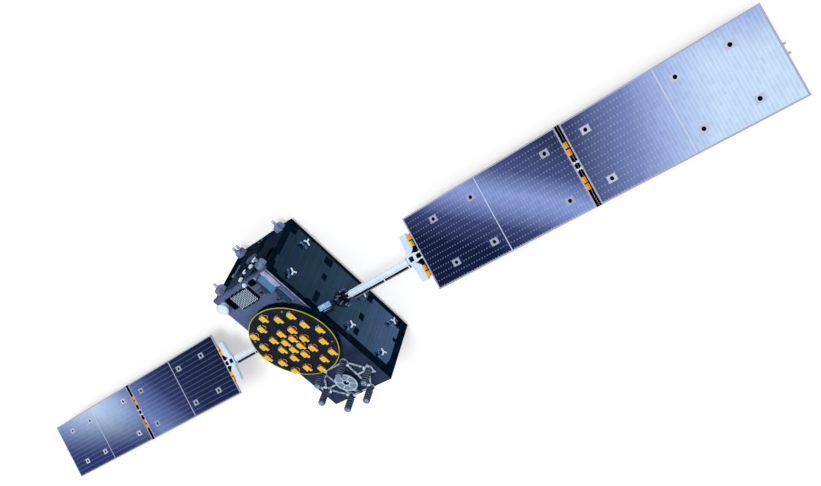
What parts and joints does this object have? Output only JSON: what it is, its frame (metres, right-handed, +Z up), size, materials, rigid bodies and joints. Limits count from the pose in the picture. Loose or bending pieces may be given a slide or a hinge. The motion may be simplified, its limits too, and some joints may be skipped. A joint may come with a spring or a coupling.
{
  "type": "navigation satellite",
  "caption": "Box-shaped navigation satellite with round antenna disc, hexagonal rescue antenna and folding two-panel solar wings on rotating yokes, standing on its separation fittings.",
  "frame": {"origin": "on the floor, in the middle of the four separation fittings under the body", "axes": "+Z up, from the zenith deck to the nadir deck with the antennas; +X towards the thruster end; +Y along the left wing"},
  "size_m": [2.678, 14.732, 1.502],
  "materials": {
    "blanket": "wrinkled satin foil",
    "dark_blanket": "wrinkled dark foil",
    "black_paint": "satin",
    "mirror_foil": "mirror",
    "bare_aluminium": "satin",
    "charcoal_laminate": "satin",
    "yellow_film": "satin film",
    "white_paint": "matte",
    "slate_laminate": "satin",
    "prism_glass": "polished",
    "blue_housing": "satin",
    "grey_paint": "satin",
    "bare_steel": "satin",
    "orange_film": "satin film",
    "solar_cells": "glossy"
  },
  "bodies": {
    "bus": {"antenna_cups": "yellow_film", "antenna_drum": "black_paint", "antenna_face": "charcoal_laminate", "antenna_rim": "yellow_film", "command_antenna": "white_paint", "drive_housing_left": "black_paint", "drive_housing_right": "black_paint", "earth_sensor_front": "blue_housing", "earth_sensor_rear": "blue_housing", "end_panel_front": "dark_blanket", "end_panel_rear": "dark_blanket", "end_units": "grey_paint", "equipment_boxes": "black_paint", "helix_caps": "white_paint", "helix_posts": "slate_laminate", "hold_down_brackets_left": "bare_aluminium", "hold_down_brackets_right": "bare_aluminium", "lens_barrels": "grey_paint", "nadir_deck": "blanket", "radiator_left": "mirror_foil", "radiator_right": "mirror_foil", "reflector_array": "prism_glass", "rescue_frame": "white_paint", "rescue_plate": "white_paint", "separation_fittings": "bare_aluminium", "side_panel_left": "black_paint", "side_panel_right": "black_paint", "thruster_nozzles": "bare_steel", "thruster_pods": "grey_paint", "zenith_deck": "blanket"},
    "drive_left": {"drive_hub_left": "bare_aluminium"},
    "yoke_left": {"yoke_arm_left": "white_paint", "yoke_crossbar_left": "white_paint", "harness_strip_left": "black_paint", "yoke_hinge_fixed_left": "orange_film"},
    "inner_wing_left": {"inner_panel_left": "solar_cells", "yoke_hinge_moving_left": "orange_film", "panel_hinge_fixed_left": "orange_film"},
    "outer_wing_left": {"outer_panel_left": "solar_cells", "panel_hinge_moving_left": "orange_film"},
    "drive_right": {"drive_hub_right": "bare_aluminium"},
    "yoke_right": {"yoke_arm_right": "white_paint", "yoke_crossbar_right": "white_paint", "harness_strip_right": "black_paint", "yoke_hinge_fixed_right": "orange_film"},
    "inner_wing_right": {"inner_panel_right": "solar_cells", "yoke_hinge_moving_right": "orange_film", "panel_hinge_fixed_right": "orange_film"},
    "outer_wing_right": {"outer_panel_right": "solar_cells", "panel_hinge_moving_right": "orange_film"}
  },
  "joints": [
    {"name": "drive_left", "type": "hinge", "parent": "bus", "child": "drive_left", "pos_m": [0, 0.684, 0.61], "axis": [0, 1, 0], "continuous": true},
    {"name": "yoke_fold_left", "type": "hinge", "parent": "drive_left", "child": "yoke_left", "pos_m": [0, 0.765, 0.61], "axis": [-0.8685, 0, 0.4957], "range_deg": [0, 90]},
    {"name": "inner_fold_left", "type": "hinge", "parent": "yoke_left", "child": "inner_wing_left", "pos_m": [0.01735, 2.165, 0.6404], "axis": [0.8685, 0, -0.4957], "range_deg": [0, 180]},
    {"name": "outer_fold_left", "type": "hinge", "parent": "inner_wing_left", "child": "outer_wing_left", "pos_m": [-0.00991, 4.768, 0.59263], "axis": [-0.8685, 0, 0.4957], "range_deg": [0, 180]},
    {"name": "drive_right", "type": "hinge", "parent": "bus", "child": "drive_right", "pos_m": [0, -0.684, 0.61], "axis": [0, 1, 0], "continuous": true},
    {"name": "yoke_fold_right", "type": "hinge", "parent": "drive_right", "child": "yoke_right", "pos_m": [0, -0.765, 0.61], "axis": [0.8685, 0, -0.4957], "range_deg": [0, 90]},
    {"name": "inner_fold_right", "type": "hinge", "parent": "yoke_right", "child": "inner_wing_right", "pos_m": [0.01735, -2.165, 0.6404], "axis": [-0.8685, 0, 0.4957], "range_deg": [0, 180]},
    {"name": "outer_fold_right", "type": "hinge", "parent": "inner_wing_right", "child": "outer_wing_right", "pos_m": [-0.00991, -4.768, 0.59263], "axis": [0.8685, 0, -0.4957], "range_deg": [0, 180]}
  ],
  "couplings": [
    {"joint": "inner_fold_left", "follows": "yoke_fold_left", "ratio": 2},
    {"joint": "outer_fold_left", "follows": "yoke_fold_left", "ratio": 2},
    {"joint": "inner_fold_right", "follows": "yoke_fold_right", "ratio": 2},
    {"joint": "outer_fold_right", "follows": "yoke_fold_right", "ratio": 2}
  ]
}
